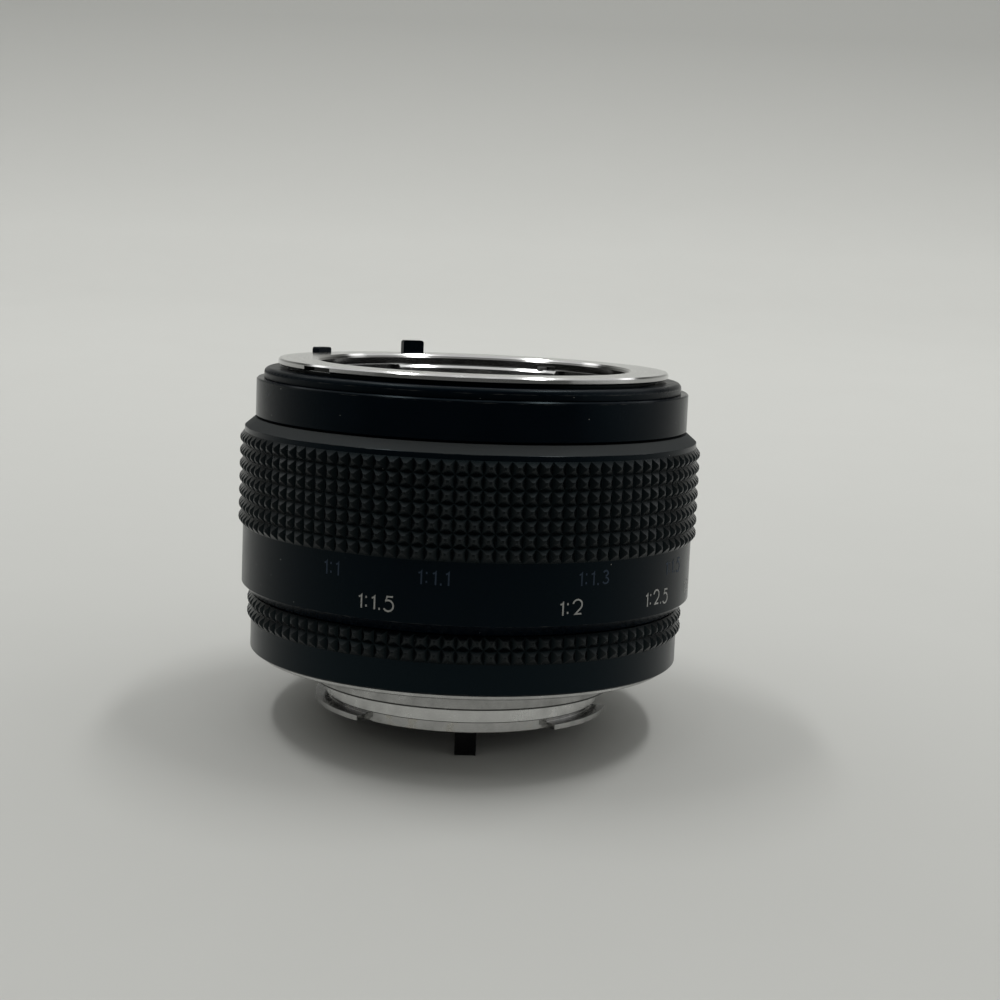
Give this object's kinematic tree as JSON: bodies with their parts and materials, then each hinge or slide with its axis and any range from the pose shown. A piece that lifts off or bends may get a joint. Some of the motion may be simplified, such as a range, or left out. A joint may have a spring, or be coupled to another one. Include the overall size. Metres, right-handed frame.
{
  "type": "macro focusing teleconverter",
  "caption": "Short barrel that goes between a camera and its lens: a knurled focusing ring drives the front bayonet out while the glass stays with the rear bayonet.",
  "frame": {"origin": "centre of the rear seat plane, where the boss meets the camera", "axes": "+Z along the optical axis towards the front lens, -Y to the side of the stop-down lever, +X to the right of the lever side"},
  "size_m": [0.0744, 0.0744, 0.0617],
  "materials": {
    "satin_chrome": "satin chrome on brass",
    "bright_chrome": "polished chrome",
    "steel": "plain steel",
    "spring_steel": "bright spring steel",
    "brass": "machined brass",
    "black_anodised": "satin black anodised",
    "satin_black": "satin black paint",
    "lever_black": "black oxide",
    "matt_black": "matt black",
    "grip_rubber": "moulded rubber",
    "optical_glass": "coated optical glass"
  },
  "bodies": {
    "rear": {"rear_mount": "satin_chrome", "rear_mount_screws": "steel", "rear_barrel": "black_anodised", "rear_grip": "grip_rubber", "rear_baffle": "matt_black", "lens_cell": "black_anodised", "cell_screws": "steel", "lens_rear": "optical_glass", "lens_6": "optical_glass", "lens_5": "optical_glass", "lens_4": "optical_glass", "lens_3": "optical_glass", "lens_2": "optical_glass", "lens_front": "optical_glass", "lens_spacers": "matt_black", "lens_retainer": "matt_black", "focus_ring_retainer": "brass", "retainer_screws": "steel", "guide_key": "brass", "guide_key_screws": "steel", "focus_stop_pin": "steel", "stop_down_spring": "spring_steel"},
    "focus": {"focus_ring": "black_anodised", "focus_grip": "grip_rubber"},
    "front": {"front_barrel": "black_anodised", "front_mount_ring": "bright_chrome", "front_mount_screws": "steel", "bayonet_springs": "spring_steel", "front_baffle": "matt_black", "baffle_screws": "steel", "release_spring": "spring_steel"},
    "meter_front": {"meter_coupling_ring": "satin_black", "meter_fork": "steel"},
    "meter_rear": {"meter_rear_ring": "steel", "meter_transfer_bar": "steel"},
    "stop_rear": {"stop_down_lever": "lever_black", "stop_down_bar": "steel"},
    "stop_front": {"stop_down_actuator": "steel"},
    "release": {"lens_release": "satin_black", "lock_pin": "steel"}
  },
  "joints": [
    {"name": "focus_turn", "type": "hinge", "parent": "rear", "child": "focus", "pos_m": [0, 0, 0], "axis": [0, 0, 1], "range_deg": [0, 215]},
    {"name": "front_extend", "type": "slide", "parent": "rear", "child": "front", "axis": [0, 0, 1], "range_m": [0, 0.018]},
    {"name": "meter_turn", "type": "hinge", "parent": "front", "child": "meter_front", "pos_m": [0, 0, 0.049], "axis": [0, 0, 1], "range_deg": [0, 45], "stiffness_Nm_per_rad": 0.02},
    {"name": "meter_rear_turn", "type": "hinge", "parent": "rear", "child": "meter_rear", "pos_m": [0, 0, 0.006], "axis": [0, 0, 1], "range_deg": [0, 45]},
    {"name": "stop_down", "type": "hinge", "parent": "rear", "child": "stop_rear", "pos_m": [0, 0, 0.009], "axis": [0, 0, 1], "range_deg": [0, 18], "stiffness_Nm_per_rad": 0.02, "deforming": ["stop_down_spring"]},
    {"name": "stop_down_front", "type": "hinge", "parent": "front", "child": "stop_front", "pos_m": [0, 0, 0.0447], "axis": [0, 0, 1], "range_deg": [0, 18]},
    {"name": "release_press", "type": "slide", "parent": "front", "child": "release", "axis": [0, 0, 1], "range_m": [-0.0015, 0], "stiffness_N_per_m": 400, "deforming": ["release_spring"]}
  ],
  "couplings": [
    {"joint": "front_extend", "follows": "focus_turn", "m_per_rad": 0.0047968},
    {"joint": "meter_rear_turn", "follows": "meter_turn", "ratio": 1},
    {"joint": "stop_down_front", "follows": "stop_down", "ratio": 1}
  ]
}
